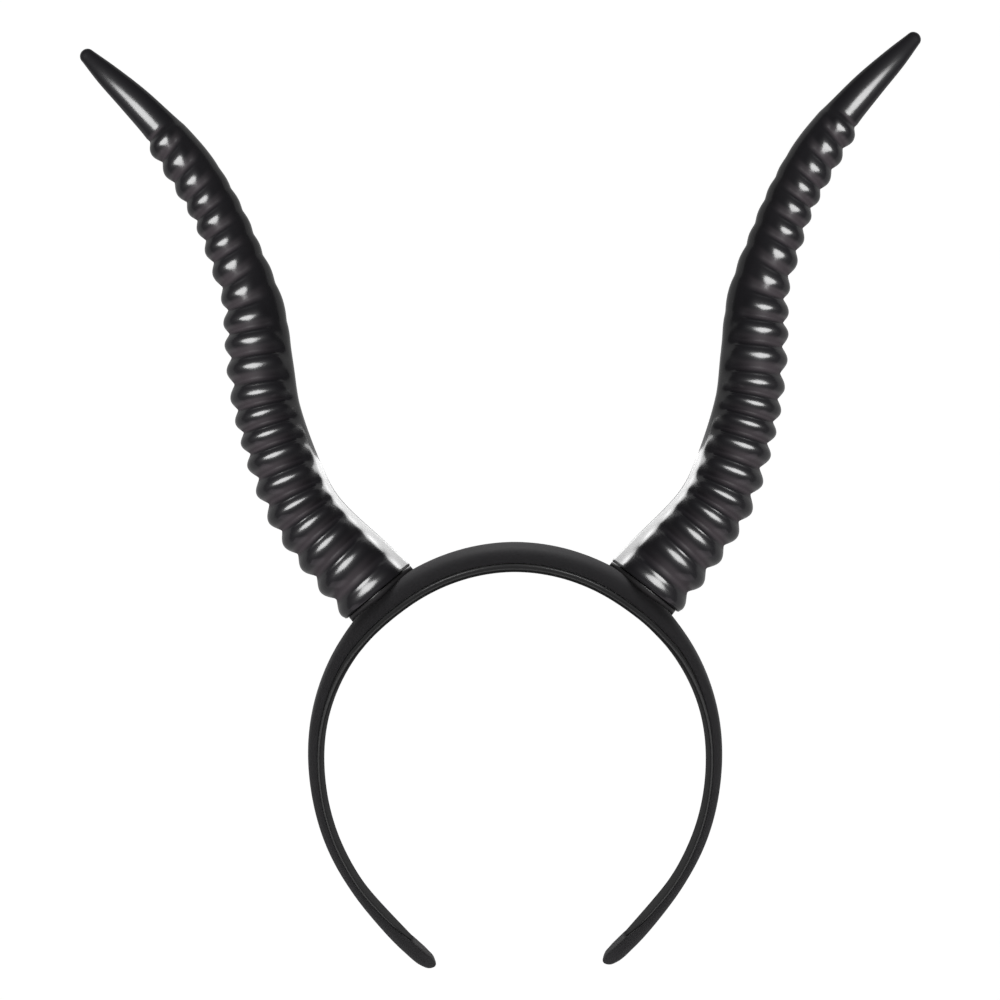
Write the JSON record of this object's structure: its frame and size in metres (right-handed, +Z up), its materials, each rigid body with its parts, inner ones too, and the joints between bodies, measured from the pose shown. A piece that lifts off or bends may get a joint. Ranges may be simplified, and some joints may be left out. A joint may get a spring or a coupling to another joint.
{
  "type": "devil horns headband",
  "caption": "Black costume headband with two long S-curved, ring-ridged horns on a padded, springy band.",
  "frame": {"origin": "on the floor, under the middle of the whole box, with the headband lying on its back", "axes": "+X across the band to its right-hand horn as seen from above, +Y from the band's open end towards the horns' points, +Z up, out of the front of the band"},
  "size_m": [0.2922, 0.3186, 0.025],
  "materials": {
    "hoop_plastic": "satin black plastic",
    "cover_fabric": "matte black cloth over padding",
    "horn_plastic": "glossy black plastic",
    "foot_plastic": "glossy black plastic"
  },
  "bodies": {
    "root": {"band_hoop": "hoop_plastic", "band_cover": "cover_fabric", "horn_left": "horn_plastic", "horn_right": "horn_plastic", "horn_foot_left": "foot_plastic", "horn_foot_right": "foot_plastic"}
  },
  "joints": []
}
